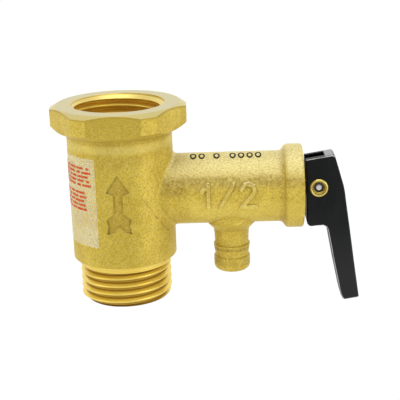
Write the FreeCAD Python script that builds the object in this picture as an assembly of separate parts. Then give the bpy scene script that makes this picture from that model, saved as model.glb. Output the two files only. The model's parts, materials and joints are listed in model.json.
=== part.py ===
"""Water-heater safety valve: a check valve and a spring relief valve in one brass body.

Frame: +Z up along the water way, from the inlet (male thread, end face at z = 0) to the outlet (female
thread). +X along the relief arm, towards the release lever. Millimetres.
Writes one STEP file per separate piece into parts/.
"""

import FreeCAD, Part
import math
import os

from FreeCAD import Rotation, Vector

# ---- pipe threads, G 1/2 ----
PIPE_PITCH = 1.814
PIPE_MAJOR_R = 20.955 / 2
PIPE_MINOR_R = 18.631 / 2
THREAD_BASE_W = 1.74          # ridge width where it stands in the metal; must stay under the pitch
THREAD_CREST_W = 0.40
CREST_ROUND = 0.06            # how far the crest's edges sit below its middle
SINK = 0.2                    # how far a swept ridge reaches into the metal it stands on

# ---- body ----
SHOULDER_Z = 9.76             # underside of the body above the male thread
BAND_H = 1.56                 # plain band between the shoulder and the thread
BAND_FLANK_H = 0.50           # the band's lower edge slopes into the first groove over this height
MALE_CORE_R = 9.40
MALE_CREST_R = 10.41
MALE_END_CHAMFER = 0.65
BODY_R = 11.80
BODY_EDGE_ROUND = 0.15
HEX_AF = 28.05
HEX_CORNER_R = 15.19
HEX_TOP_Z = 44.85
HEX_TOP_CHAMFER_R = 13.80
HEX_TOP_CHAMFER_DROP = 0.75
HEX_UNDER_PROFILE = (         # radius, height: from the body out past the corners
    (BODY_R, 38.10),
    (11.90, 38.45),
    (12.20, 38.75),
    (13.20, 39.20),
    (14.03, 39.60),
    (HEX_CORNER_R, 40.35),
    (HEX_CORNER_R + 1, 41.00),
)

# ---- water way ----
INLET_R = 6.50
CHAMBER_FLOOR_Z = 12.00
CHAMBER_R = 8.60
GUIDE_LEDGE_Z = 28.00
GUIDE_SEAT_R = 9.10
RING_GROOVE_Z = 31.90
RING_GROOVE_H = 1.10
RING_GROOVE_R = 9.90
FEMALE_ROOT_Z = 34.60         # the full-form female thread starts above this
FEMALE_ROOT_R = PIPE_MAJOR_R
FEMALE_CREST_R = 9.37
FEMALE_TURN_DEG = 265.0       # where round the bore the ridge starts
THREAD_RUN_OUT = 1.00         # how far the swept ridge carries on past the end face before it is cut back
THREAD_START_DEPTH = 0.60     # how far the first ridge starts inside the metal below
MOUTH_R = 10.50
MOUTH_CHAMFER = 1.18

# ---- relief arm ----
ARM_Z = 24.64
ARM_R = 8.03
ARM_FILLET = 1.00
FLANGE_R = 9.46
FLARE_PROFILE = (             # x, radius: from the arm out to the flange
    (35.30, ARM_R),
    (35.90, 8.12),
    (36.30, 8.45),
    (36.75, 9.10),
    (37.10, 9.38),
    (37.50, FLANGE_R),
)
FLANGE_END_X = 40.78
FLANGE_EDGE = 0.30
PORT_R = 2.60
SPRING_BORE_X = 11.40
SPRING_BORE_R = 6.30
SEAT_LIP_X = 12.20
SEAT_LIP_R = 3.40
PLUG_BORE_X = 34.40
PLUG_BORE_R = 7.00
PLUG_BORE_CHAMFER = 0.35

# ---- drain barb ----
BARB_X = 24.59
BARB_TOP_R = 5.90
BARB_TOP_Z = 19.40            # inside the arm
BARB_BOTTOM_Z = 5.31
DRAIN_R = 2.40
DRAIN_TOP_Z = 19.50
BARB_PROFILE = (              # radius, height: from the arm down to the rounded tip
    (BARB_TOP_R, BARB_TOP_Z),
    (5.90, 17.60),
    (5.72, 16.90),
    (4.86, 15.95),
    (4.35, 15.45),
    (4.08, 15.20),
    (3.94, 13.90),
    (3.87, 12.40),
    (3.85, 11.50),
    (4.15, 11.38),
    (4.13, 11.00),
    (3.93, 9.80),
    (3.80, 8.95),
    (3.80, 8.60),
    (4.13, 8.45),
    (4.13, 6.60),
    (4.05, 6.05),
    (3.78, 5.58),
    (3.40, BARB_BOTTOM_Z),
)

# ---- flow arrow, sunk into the front of the body ----
ARROW_DEPTH = 0.42
ARROW_OUTLINE = (             # x, z seen from the front
    (0.00, 31.20),
    (2.60, 27.25),
    (1.00, 26.60),
    (1.00, 22.45),
    (2.75, 21.00),
    (2.35, 19.60),
    (2.75, 17.75),
    (1.45, 18.10),
    (0.00, 19.60),
    (-1.45, 18.10),
    (-2.75, 17.75),
    (-2.35, 19.60),
    (-2.75, 21.00),
    (-1.00, 22.45),
    (-1.00, 26.60),
    (-2.60, 27.25),
)

# ---- raised size mark "1/2" on the front of the arm ----
MARK_HEIGHT = 0.45
MARK_STROKE = 0.85
MARK_LOW_Z = 22.20
MARK_HIGH_Z = 27.40
MARK_LINES = (                # polylines, x and the share of the mark's height
    ((18.10, 0.72), (19.60, 1.00), (19.60, 0.00)),
    ((22.20, 0.00), (25.20, 1.00)),
    ((26.90, 0.78), (27.60, 0.97), (28.70, 1.00), (29.60, 0.90), (29.80, 0.70), (29.20, 0.50),
     (26.90, 0.00), (30.10, 0.00)),
)

# ---- label film around the back of the body ----
LABEL_T = 0.08
LABEL_LOW_Z = 14.50
LABEL_HIGH_Z = 34.70
LABEL_START_DEG = -24.0       # from the front (-Y) towards -X
LABEL_END_DEG = -156.0

# ---- check valve ----
SEAT_RING_TOP_Z = 16.50
SEAT_RING_BORE_R = 5.20
SEAT_RING_LIP_R = 5.90
SEAT_RING_LIP_Z = 17.10
SEAT_RING_CLEAR = 0.05
SEAT_GROOVE_LOW_Z = 13.40
SEAT_GROOVE_HIGH_Z = 14.70
SEAT_GROOVE_R = 7.50
SEAT_ORING_WIRE_R = 0.54
SEAT_ORING_MEAN_R = 8.05
CHECK_SEAL_R = 6.60
CHECK_SEAL_T = 1.20
CHECK_NECK_R = 3.00
CHECK_CLIP_R = 4.60
CHECK_CLIP_T = 1.00
CHECK_RIVET_R = 3.50
CHECK_RIVET_T = 0.70
POPPET_R = 6.60
POPPET_T = 1.60
POPPET_STEM_R = 1.60
POPPET_STEM_TOP_Z = 30.00
RUN_CLEAR = 0.07              # radial clearance of every sliding or turning fit
GUIDE_R = 9.05
GUIDE_RING_R = 7.60
GUIDE_HUB_R = 3.00
GUIDE_TOP_Z = 31.80
GUIDE_ARM_W = 1.40
GUIDE_ARMS = 4
CHECK_WIRE_R = 0.30
CHECK_COIL_R = 3.40
CHECK_TURNS = 6.0
RING_R = 9.85
RING_INNER_R = 8.30
RING_T = 1.00
RING_GAP_DEG = 50.0

# ---- both springs ----
SPRING_STEPS = 16             # points set out along each turn of wire
CLOSED_PITCH = 2.1            # rise of a closed end turn, in wire radii
CLOSED_TURN = 0.75            # turns at each end that stay closed
OPENING_TURN = 0.5            # turns over which the coil then opens to its full pitch

# ---- relief valve ----
NUT_AF = 3.80
NUT_X = 10.90
SPIGOT_R = 1.00
SPIGOT_X = 10.60
RELIEF_SEAL_R = 4.40
RELIEF_SEAL_T = 2.00
HOLDER_RIM_R = 5.40
HOLDER_RIM_X = 12.75
HOLDER_BACK_X = 17.00
HOLDER_BOSS_R = 3.20
HOLDER_BOSS_X = 18.50
STEM_R = 1.60
STEM_FLAT_X = 36.90           # the stem is flattened beyond this, where it enters the lever
TONGUE_T = 2.80
EYE_R = 2.10
RELIEF_WIRE_R = 0.70
RELIEF_COIL_R = 4.20
RELIEF_TURNS = 8.0
WASHER_X = 33.00
WASHER_T = 0.80
WASHER_R = 6.15
WASHER_BORE_R = 1.75
PLUG_X = 33.80
PLUG_NOSE_R = 6.20
PLUG_THREAD_X = 34.60
PLUG_ROOT_R = 6.35
PLUG_CREST_R = 6.92
PLUG_THREAD_R = 6.88
PLUG_PITCH = 1.00
PLUG_RIDGE_W = 0.90
PLUG_COLLAR_L = 0.90
PLUG_EDGE = 0.30
PLUG_FACE_X = 39.18
PLUG_SLOT_W = 2.00
PLUG_SLOT_DEPTH = 1.20
STEM_ORING_WIRE_R = 0.55
STEM_ORING_POCKET_R = 2.76
STEM_ORING_POCKET_L = 1.15

# ---- lever ----
PIN_X = 44.39
PIN_R = 1.10
LEVER_T = 5.50
LEVER_EDGE = 0.28
LEVER_OUTLINE = (             # x, z from the pin; the handle hangs down at rest
    (-2.98, 6.60),
    (3.15, 7.55),
    (3.62, 7.12),
    (4.50, 4.10),
    (5.58, 0.25),
    (5.84, -1.13),
    (6.26, -4.40),
    (7.01, -9.85),
    (8.06, -17.93),
    (9.22, -26.35),
    (8.98, -26.66),
    (5.95, -27.13),
    (5.52, -26.82),
    (5.05, -25.90),
    (4.77, -24.75),
    (3.40, -17.82),
    (2.20, -11.10),
    (1.98, -9.98),
    (1.62, -9.22),
    (1.05, -8.90),
    (-0.90, -9.02),
    (-1.62, -9.12),
    (-2.20, -8.98),
    (-2.60, -8.50),
    (-2.78, -7.80),
    (-2.74, -5.10),
    (-2.74, 0.00),
)
SLOT_W = 3.10
SLOT_WEB_X = 1.31             # inner face of the web that closes the slot, from the pin
SLOT_POCKET_R = 2.40
EYELET_BARREL_R = 1.55
EYELET_FLANGE_R = 2.06
EYELET_PROUD = 0.42
EYELET_DEPTH = 1.10
PIN_RECESS = 0.15             # how far each pin end sits below the lever's face
PIN_END_R = 0.58              # stepped-down stub at each end of the pin
PIN_END_L = 0.60

FAR = 100.0                   # longer than anything here, for cutting tools
X_AXIS = Vector(1, 0, 0)
Y_AXIS = Vector(0, 1, 0)
Z_AXIS = Vector(0, 0, 1)


def export(name, shape):
    """Write one node, checked to be closed valid solids."""
    if not shape.isValid() or not shape.Solids:
        raise ValueError("bad shape: " + name)
    shape.exportStep("parts/" + name + ".step")
    print(name, len(shape.Solids), "solid(s)", round(shape.Volume, 1), "mm3")


def cylinder_z(radius, low, high, x=0.0):
    return Part.makeCylinder(radius, high - low, Vector(x, 0, low), Z_AXIS)


def cylinder_x(radius, low, high):
    return Part.makeCylinder(radius, high - low, Vector(low, 0, ARM_Z), X_AXIS)


def cylinder_y(radius, low, high, x=PIN_X, z=ARM_Z):
    return Part.makeCylinder(radius, high - low, Vector(x, low, z), Y_AXIS)


def revolve_z(profile, x=0.0):
    """Solid of revolution about a vertical axis, from (radius, z) points."""
    points = [Vector(x + r, 0, z) for r, z in profile]
    face = Part.Face(Part.makePolygon(points + [points[0]]))
    return face.revolve(Vector(x, 0, 0), Z_AXIS, 360)


def revolve_x(profile):
    """Solid of revolution about the arm's axis, from (x, radius) points."""
    points = [Vector(x, 0, ARM_Z + r) for x, r in profile]
    face = Part.Face(Part.makePolygon(points + [points[0]]))
    return face.revolve(Vector(0, 0, ARM_Z), X_AXIS, 360)


def prism_y(outline, low, high):
    """Prism along Y from (x, z) points."""
    points = [Vector(x, low, z) for x, z in outline]
    face = Part.Face(Part.makePolygon(points + [points[0]]))
    return face.extrude(Vector(0, high - low, 0))


def hexagon(across_flats, start, length, direction):
    """Hexagonal prism with two flats facing +-Y."""
    radius = across_flats / math.sqrt(3)
    corners = []
    for i in range(6):
        angle = math.radians(60 * i)
        corners.append(Vector(radius * math.cos(angle), radius * math.sin(angle), 0))
    prism = Part.Face(Part.makePolygon(corners + [corners[0]])).extrude(Vector(0, 0, length))
    prism.Placement = FreeCAD.Placement(start, Rotation(Z_AXIS, direction))
    return prism


def swept_ridge(pitch, height, root_r, crest_r, base_w, crest_w, low):
    """Helical thread ridge about Z, with a lightly rounded crest."""
    helix = Part.makeHelix(pitch, height, root_r)
    helix.translate(Vector(0, 0, low))
    edge_r = crest_r - math.copysign(CREST_ROUND, crest_r - root_r)
    profile = (
        (root_r, -base_w / 2),
        (edge_r, -crest_w / 2),
        (crest_r, 0),
        (edge_r, crest_w / 2),
        (root_r, base_w / 2),
    )
    points = [Vector(r, 0, low + z) for r, z in profile]
    wire = Part.makePolygon(points + [points[0]])
    return Part.Wire(helix.Edges).makePipeShell([wire], True, True)


def coil_spring(wire_r, coil_r, turns, length):
    """Compression spring standing on z = 0, one wire whose end turns lie closed on their neighbours."""
    rise = length - 2 * wire_r
    count = round(turns * SPRING_STEPS)
    openness = []
    for i in range(count):
        from_end = min(i + 0.5, count - i - 0.5) / SPRING_STEPS
        share = min(max(from_end - CLOSED_TURN, 0.0) / OPENING_TURN, 1.0)
        openness.append(share * share * (3 - 2 * share))
    closed_step = CLOSED_PITCH * wire_r / SPRING_STEPS
    open_step = (rise - closed_step * count) / sum(openness)
    points = [Vector(coil_r, 0, wire_r)]
    for i, share in enumerate(openness, start=1):
        angle = 2 * math.pi * i / SPRING_STEPS
        low = points[-1].z + closed_step + open_step * share
        points.append(Vector(coil_r * math.cos(angle), coil_r * math.sin(angle), low))
    curve = Part.BSplineCurve()
    curve.interpolate(points)
    path = curve.toShape()
    section = Part.makeCircle(wire_r, points[0], path.tangentAt(path.FirstParameter))
    return Part.Wire(path).makePipeShell([Part.Wire(section)], True, True)


def along_x(shape, x):
    """Stand a shape built on Z along the arm's axis, starting at x."""
    turned = shape.copy()
    turned.Placement = FreeCAD.Placement(Vector(x, 0, ARM_Z), Rotation(Z_AXIS, X_AXIS))
    return turned


def hex_head():
    """Hexagon with rounded corners, a chamfered top and a sloping underside."""
    corner = HEX_UNDER_PROFILE[-1][0]
    drop_per_mm = HEX_TOP_CHAMFER_DROP / (HEX_CORNER_R - HEX_TOP_CHAMFER_R)
    profile = [(0, SHOULDER_Z + 5), (BODY_R, SHOULDER_Z + 5)]
    profile.extend(HEX_UNDER_PROFILE)
    profile.append((corner, HEX_TOP_Z - drop_per_mm * (corner - HEX_TOP_CHAMFER_R)))
    profile.append((HEX_TOP_CHAMFER_R, HEX_TOP_Z))
    profile.append((0, HEX_TOP_Z))
    head = revolve_z(profile)
    head = head.common(hexagon(HEX_AF, Vector(0, 0, 0), FAR, Z_AXIS))
    return head.common(cylinder_z(HEX_CORNER_R, 0, FAR))


def forged_outside():
    """Body, hexagon, arm and drain stub before any machining."""
    body = cylinder_z(BODY_R, SHOULDER_Z, HEX_UNDER_PROFILE[0][1])
    bottom = [e for e in body.Edges if abs(e.BoundBox.ZMax - SHOULDER_Z) < 0.01]
    body = body.makeFillet(BODY_EDGE_ROUND, bottom)
    flange = (
        (FLANGE_END_X - FLANGE_EDGE, FLANGE_R),
        (FLANGE_END_X, FLANGE_R - FLANGE_EDGE),
        (FLANGE_END_X, 0),
    )
    arm = revolve_x(((0, 0), (0, ARM_R)) + FLARE_PROFILE + flange)
    outside = body.fuse(arm).removeSplitter()
    joint = []
    for edge in outside.Edges:
        box = edge.BoundBox
        if box.XMax < BODY_R + 0.1 and box.XMin > 5.0 and box.ZMin > SHOULDER_Z + 3:
            joint.append(edge)
    outside = outside.makeFillet(ARM_FILLET, joint)
    barb = revolve_z(((0, BARB_TOP_Z),) + BARB_PROFILE + ((0, BARB_BOTTOM_Z),), BARB_X)
    return outside.fuse([hex_head(), barb])


def male_thread():
    """Inlet thread below the shoulder, with its plain band."""
    bottom_r = MALE_CREST_R - MALE_END_CHAMFER
    envelope = revolve_z((
        (0, 0),
        (bottom_r, 0),
        (MALE_CREST_R + 0.3, MALE_END_CHAMFER + 0.3),
        (MALE_CREST_R + 0.3, SHOULDER_Z),
        (0, SHOULDER_Z),
    ))
    ridge = swept_ridge(PIPE_PITCH, SHOULDER_Z, MALE_CORE_R - SINK, MALE_CREST_R,
                        THREAD_BASE_W, THREAD_CREST_W, -PIPE_PITCH)
    core = cylinder_z(MALE_CORE_R, 0, SHOULDER_Z + 1)
    band_low = SHOULDER_Z - BAND_H
    band = cylinder_z(PIPE_MAJOR_R, band_low, SHOULDER_Z + 1)
    flank_foot = Vector(0, 0, band_low - BAND_FLANK_H)
    flank = Part.makeCone(MALE_CORE_R, PIPE_MAJOR_R, BAND_FLANK_H, flank_foot, Z_AXIS)
    return core.fuse([band, flank, ridge.common(envelope)])


def female_thread():
    """The ridges that stand inside the outlet, cut back to the mouth's chamfer."""
    mouth_low = HEX_TOP_Z - MOUTH_CHAMFER
    ridge_low = FEMALE_ROOT_Z - THREAD_START_DEPTH
    ridge_height = HEX_TOP_Z + THREAD_RUN_OUT - ridge_low
    ridge = swept_ridge(PIPE_PITCH, ridge_height, FEMALE_ROOT_R + SINK, FEMALE_CREST_R,
                        THREAD_BASE_W, THREAD_CREST_W, ridge_low)
    ridge.rotate(Vector(0, 0, 0), Z_AXIS, FEMALE_TURN_DEG)
    mouth = revolve_z((
        (0, mouth_low),
        (PIPE_MINOR_R, mouth_low),
        (MOUTH_R, HEX_TOP_Z - 0.02),
        (MOUTH_R + 2, HEX_TOP_Z - 0.02),
        (MOUTH_R + 2, HEX_TOP_Z + 3),
        (0, HEX_TOP_Z + 3),
    ))
    return ridge.cut(mouth)


def water_way():
    """Everything cut out along the vertical axis."""
    return revolve_z((
        (0, -1),
        (INLET_R + 0.5, -1),
        (INLET_R + 0.5, 0),
        (INLET_R, 0.5),
        (INLET_R, CHAMBER_FLOOR_Z),
        (CHAMBER_R, CHAMBER_FLOOR_Z),
        (CHAMBER_R, GUIDE_LEDGE_Z),
        (GUIDE_SEAT_R, GUIDE_LEDGE_Z),
        (GUIDE_SEAT_R, RING_GROOVE_Z),
        (RING_GROOVE_R, RING_GROOVE_Z),
        (RING_GROOVE_R, RING_GROOVE_Z + RING_GROOVE_H),
        (PIPE_MINOR_R, RING_GROOVE_Z + RING_GROOVE_H),
        (PIPE_MINOR_R, FEMALE_ROOT_Z),
        (FEMALE_ROOT_R, FEMALE_ROOT_Z),
        (FEMALE_ROOT_R, HEX_TOP_Z - (MOUTH_R - FEMALE_ROOT_R)),
        (MOUTH_R, HEX_TOP_Z),
        (MOUTH_R, HEX_TOP_Z + 1),
        (0, HEX_TOP_Z + 1),
    ))


def arm_way():
    """Relief port, spring bore with its raised seat, and the plug's bore."""
    return revolve_x((
        (CHAMBER_R - 3, 0),
        (CHAMBER_R - 3, PORT_R),
        (SEAT_LIP_X, PORT_R),
        (SEAT_LIP_X, SEAT_LIP_R),
        (SPRING_BORE_X, SEAT_LIP_R + 0.6),
        (SPRING_BORE_X, SPRING_BORE_R),
        (PLUG_BORE_X, SPRING_BORE_R),
        (PLUG_BORE_X, PLUG_BORE_R),
        (FLANGE_END_X - PLUG_BORE_CHAMFER, PLUG_BORE_R),
        (FLANGE_END_X, PLUG_BORE_R + PLUG_BORE_CHAMFER),
        (FLANGE_END_X + 1, PLUG_BORE_R + PLUG_BORE_CHAMFER),
        (FLANGE_END_X + 1, 0),
    ))


def arrow_pocket():
    """The sunk arrow: its outline cut to an even depth from the round body."""
    outline = prism_y(ARROW_OUTLINE, -BODY_R - 1, -BODY_R + 3)
    shell = cylinder_z(BODY_R + 1, 15, 35).cut(cylinder_z(BODY_R - ARROW_DEPTH, 15, 35))
    return outline.common(shell)


def size_mark():
    """Raised strokes that follow the arm's round surface."""
    shell = cylinder_x(ARM_R + MARK_HEIGHT, 12, 34).cut(cylinder_x(ARM_R - 0.3, 12, 34))
    strokes = []
    for line in MARK_LINES:
        points = []
        for x, share in line:
            points.append((x, MARK_LOW_Z + share * (MARK_HIGH_Z - MARK_LOW_Z)))
        for x, z in points:
            strokes.append(cylinder_y(MARK_STROKE / 2, -ARM_R - 1, 0, x, z))
        for (x0, z0), (x1, z1) in zip(points, points[1:]):
            length = math.hypot(x1 - x0, z1 - z0)
            sx = -(z1 - z0) / length * MARK_STROKE / 2
            sz = (x1 - x0) / length * MARK_STROKE / 2
            corners = ((x0 + sx, z0 + sz), (x1 + sx, z1 + sz), (x1 - sx, z1 - sz), (x0 - sx, z0 - sz))
            strokes.append(prism_y(corners, -ARM_R - 1, 0))
    return strokes[0].fuse(strokes[1:]).common(shell).removeSplitter()


def valve_body():
    solid = forged_outside().fuse([male_thread(), size_mark()])
    solid = solid.cut([water_way(), arm_way(), arrow_pocket()])
    solid = solid.cut(cylinder_z(DRAIN_R, BARB_BOTTOM_Z - 1, DRAIN_TOP_Z, BARB_X))
    return solid.fuse(female_thread())


def warning_label():
    """Thin film wrapped round the side of the body away from the arm."""
    sweep = abs(LABEL_END_DEG - LABEL_START_DEG)
    foot = Vector(0, 0, LABEL_LOW_Z)
    sector = Part.makeCylinder(BODY_R + LABEL_T, LABEL_HIGH_Z - LABEL_LOW_Z, foot, Z_AXIS, sweep)
    film = sector.cut(cylinder_z(BODY_R, LABEL_LOW_Z - 1, LABEL_HIGH_Z + 1))
    film.rotate(Vector(0, 0, 0), Z_AXIS, -90 + LABEL_END_DEG)
    return film


def check_seat():
    """Plastic seat ring with an O-ring groove round it."""
    outer = CHAMBER_R - SEAT_RING_CLEAR
    return revolve_z((
        (SEAT_RING_BORE_R, CHAMBER_FLOOR_Z),
        (outer, CHAMBER_FLOOR_Z),
        (outer, SEAT_GROOVE_LOW_Z),
        (SEAT_GROOVE_R, SEAT_GROOVE_LOW_Z),
        (SEAT_GROOVE_R, SEAT_GROOVE_HIGH_Z),
        (outer, SEAT_GROOVE_HIGH_Z),
        (outer, SEAT_RING_TOP_Z),
        (SEAT_RING_LIP_R, SEAT_RING_TOP_Z),
        (SEAT_RING_LIP_R - 0.2, SEAT_RING_LIP_Z),
        (SEAT_RING_BORE_R, SEAT_RING_LIP_Z),
    ))


def seat_oring():
    middle = (SEAT_GROOVE_LOW_Z + SEAT_GROOVE_HIGH_Z) / 2
    return Part.makeTorus(SEAT_ORING_MEAN_R, SEAT_ORING_WIRE_R, Vector(0, 0, middle), Z_AXIS)


def check_seal():
    low = SEAT_RING_LIP_Z
    disc = cylinder_z(CHECK_SEAL_R, low, low + CHECK_SEAL_T)
    return disc.cut(cylinder_z(CHECK_NECK_R, low, low + CHECK_SEAL_T))


def check_seal_washer():
    high = SEAT_RING_LIP_Z
    low = high - CHECK_CLIP_T
    return cylinder_z(CHECK_CLIP_R, low, high).cut(cylinder_z(CHECK_NECK_R, low, high))


def check_poppet():
    """Disc and guide stem, with the neck that carries the seal staked over below it."""
    disc_low = SEAT_RING_LIP_Z + CHECK_SEAL_T
    clip_low = SEAT_RING_LIP_Z - CHECK_CLIP_T
    return revolve_z((
        (0, clip_low - CHECK_RIVET_T),
        (CHECK_RIVET_R - 0.4, clip_low - CHECK_RIVET_T),
        (CHECK_RIVET_R, clip_low),
        (CHECK_NECK_R, clip_low),
        (CHECK_NECK_R, disc_low),
        (POPPET_R, disc_low),
        (POPPET_R, disc_low + POPPET_T - 0.5),
        (POPPET_R - 0.8, disc_low + POPPET_T),
        (POPPET_STEM_R + 1.0, disc_low + POPPET_T),
        (POPPET_STEM_R, disc_low + POPPET_T + 0.8),
        (POPPET_STEM_R, POPPET_STEM_TOP_Z - 0.5),
        (POPPET_STEM_R - 0.5, POPPET_STEM_TOP_Z),
        (0, POPPET_STEM_TOP_Z),
    ))


def check_guide():
    """Plastic spider: outer ring, hub and arms, with the stem's guide hole."""
    ring = cylinder_z(GUIDE_R, GUIDE_LEDGE_Z, GUIDE_TOP_Z)
    ring = ring.cut(cylinder_z(GUIDE_RING_R, GUIDE_LEDGE_Z, GUIDE_TOP_Z))
    hub = cylinder_z(GUIDE_HUB_R, GUIDE_LEDGE_Z, GUIDE_TOP_Z)
    arms = []
    arm_corner = Vector(0, -GUIDE_ARM_W / 2, GUIDE_LEDGE_Z + 0.9)
    for i in range(GUIDE_ARMS):
        arm = Part.makeBox(GUIDE_RING_R + 0.5, GUIDE_ARM_W, 2.6, arm_corner)
        arm.rotate(Vector(0, 0, 0), Z_AXIS, 45 + 360.0 * i / GUIDE_ARMS)
        arms.append(arm)
    spring_seat = cylinder_z(CHECK_COIL_R + 1.0, GUIDE_LEDGE_Z, GUIDE_LEDGE_Z + 0.9)
    guide = ring.fuse([hub, spring_seat] + arms)
    bore = cylinder_z(POPPET_STEM_R + RUN_CLEAR, GUIDE_LEDGE_Z - 1, GUIDE_TOP_Z + 1)
    return guide.cut(bore).removeSplitter()


def check_spring():
    low = SEAT_RING_LIP_Z + CHECK_SEAL_T + POPPET_T
    spring = coil_spring(CHECK_WIRE_R, CHECK_COIL_R, CHECK_TURNS, GUIDE_LEDGE_Z - low)
    spring.translate(Vector(0, 0, low))
    return spring


def check_retaining_ring():
    """Internal snap ring, open at the back."""
    low = RING_GROOVE_Z + 0.05
    ring = cylinder_z(RING_R, low, low + RING_T).cut(cylinder_z(RING_INNER_R, low, low + RING_T))
    gap = Part.makeCylinder(RING_R + 1, RING_T + 2, Vector(0, 0, low - 1), Z_AXIS, RING_GAP_DEG)
    gap.rotate(Vector(0, 0, 0), Z_AXIS, 90 - RING_GAP_DEG / 2)
    return ring.cut(gap)


def seal_nut():
    blank = hexagon(NUT_AF, Vector(NUT_X, 0, ARM_Z), SEAT_LIP_X - NUT_X, X_AXIS)
    return blank.cut(cylinder_x(SPIGOT_R, NUT_X - 1, SEAT_LIP_X + 1))


def relief_seal():
    high = SEAT_LIP_X + RELIEF_SEAL_T
    return cylinder_x(RELIEF_SEAL_R, SEAT_LIP_X, high).cut(cylinder_x(SPIGOT_R, SEAT_LIP_X, high))


def disc_holder():
    """Cup that carries the seal in front and centres the spring behind."""
    back_of_seal = SEAT_LIP_X + RELIEF_SEAL_T
    return revolve_x((
        (back_of_seal, SPIGOT_R),
        (back_of_seal, RELIEF_SEAL_R),
        (HOLDER_RIM_X, RELIEF_SEAL_R),
        (HOLDER_RIM_X, HOLDER_RIM_R),
        (HOLDER_BACK_X, HOLDER_RIM_R),
        (HOLDER_BACK_X, HOLDER_BOSS_R),
        (HOLDER_BOSS_X, HOLDER_BOSS_R - 0.2),
        (HOLDER_BOSS_X, STEM_R),
        (HOLDER_BACK_X, STEM_R),
        (HOLDER_BACK_X, SPIGOT_R),
    ))


def relief_stem():
    """Rod from the seal out to the lever, flattened where it runs in the lever's slot."""
    rod = cylinder_x(SPIGOT_R, SPIGOT_X, HOLDER_BACK_X)
    rod = rod.fuse(cylinder_x(STEM_R, HOLDER_BACK_X, PIN_X))
    rod = rod.fuse(cylinder_y(EYE_R, -TONGUE_T / 2, TONGUE_T / 2))
    for side in (-1, 1):
        low = TONGUE_T / 2 if side > 0 else -TONGUE_T / 2 - 5
        rod = rod.cut(Part.makeBox(FAR, 5, 10, Vector(STEM_FLAT_X, low, ARM_Z - 5)))
    return rod.cut(cylinder_y(PIN_R + RUN_CLEAR, -5, 5)).removeSplitter()


def relief_spring():
    spring = coil_spring(RELIEF_WIRE_R, RELIEF_COIL_R, RELIEF_TURNS, WASHER_X - HOLDER_BACK_X)
    return along_x(spring, HOLDER_BACK_X)


def spring_washer():
    end = WASHER_X + WASHER_T
    return cylinder_x(WASHER_R, WASHER_X, end).cut(cylinder_x(WASHER_BORE_R, WASHER_X, end))


def adjuster_plug():
    """Threaded plug that loads the spring and guides the stem; factory set."""
    nose = PLUG_THREAD_X - PLUG_X
    collar = PLUG_FACE_X - PLUG_COLLAR_L - PLUG_X
    face = PLUG_FACE_X - PLUG_X
    core = cylinder_z(PLUG_ROOT_R, nose, face)
    ridge = swept_ridge(PLUG_PITCH, collar - nose, PLUG_ROOT_R - SINK, PLUG_THREAD_R,
                        PLUG_RIDGE_W, PLUG_RIDGE_W / 4, nose + PLUG_RIDGE_W * 0.6)
    plug = core.fuse(ridge)
    plug = plug.fuse(cylinder_z(PLUG_NOSE_R, 0, nose + SINK))
    plug = plug.fuse(cylinder_z(PLUG_CREST_R, collar, face - PLUG_EDGE))
    edge_foot = Vector(0, 0, face - PLUG_EDGE)
    edge = Part.makeCone(PLUG_CREST_R, PLUG_CREST_R - PLUG_EDGE, PLUG_EDGE, edge_foot, Z_AXIS)
    plug = along_x(plug.fuse(edge), PLUG_X)
    plug = plug.cut(cylinder_x(STEM_R + RUN_CLEAR, PLUG_X - 1, PLUG_FACE_X + 1))
    plug = plug.cut(cylinder_x(STEM_ORING_POCKET_R, PLUG_X - 1, PLUG_X + STEM_ORING_POCKET_L))
    slot_corner = Vector(PLUG_FACE_X - PLUG_SLOT_DEPTH, -FAR / 2, ARM_Z - PLUG_SLOT_W / 2)
    slot = Part.makeBox(FAR, FAR, PLUG_SLOT_W, slot_corner)
    return plug.cut(slot)


def stem_oring():
    centre = Vector(PLUG_X + STEM_ORING_POCKET_L / 2, 0, ARM_Z)
    return Part.makeTorus(STEM_R + 0.03 + STEM_ORING_WIRE_R, STEM_ORING_WIRE_R, centre, X_AXIS)


def release_lever():
    """Lever plate with softened edges, the slot for the stem and the holes for the eyelets."""
    outline = [(PIN_X + x, ARM_Z + z) for x, z in LEVER_OUTLINE]
    lever = prism_y(outline, -LEVER_T / 2, LEVER_T / 2)
    rim = [e for e in lever.Edges if e.BoundBox.YLength < 0.01]
    lever = lever.makeChamfer(LEVER_EDGE, rim)
    slot = Part.makeBox(20 + SLOT_WEB_X, SLOT_W, 20, Vector(PIN_X - 20, -SLOT_W / 2, ARM_Z - SLOT_POCKET_R))
    pocket = cylinder_y(SLOT_POCKET_R, -SLOT_W / 2, SLOT_W / 2)
    lever = lever.cut([slot, pocket])
    return lever.cut(cylinder_y(EYELET_BARREL_R, -5, 5)).removeSplitter()


def eyelet(side):
    """Flanged brass bush pressed into one cheek; side is -1 at the front, 1 at the back."""
    face = LEVER_T / 2
    profile = (
        (PIN_R, face - EYELET_DEPTH),
        (EYELET_BARREL_R, face - EYELET_DEPTH),
        (EYELET_BARREL_R, face),
        (EYELET_FLANGE_R, face),
        (EYELET_FLANGE_R, face + 0.20),
        (EYELET_FLANGE_R - 0.12, face + 0.36),
        (EYELET_FLANGE_R - 0.28, face + EYELET_PROUD),
        (EYELET_FLANGE_R - 0.42, face + 0.36),
        (EYELET_FLANGE_R - 0.48, face + 0.12),
        (EYELET_FLANGE_R - 0.62, face + 0.12),
        (PIN_R + 0.12, face - 0.20),
        (PIN_R, face - 0.30),
    )
    points = [Vector(PIN_X + r, side * y, ARM_Z) for r, y in profile]
    outline = Part.Face(Part.makePolygon(points + [points[0]]))
    return outline.revolve(Vector(PIN_X, 0, ARM_Z), Y_AXIS, 360)


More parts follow.
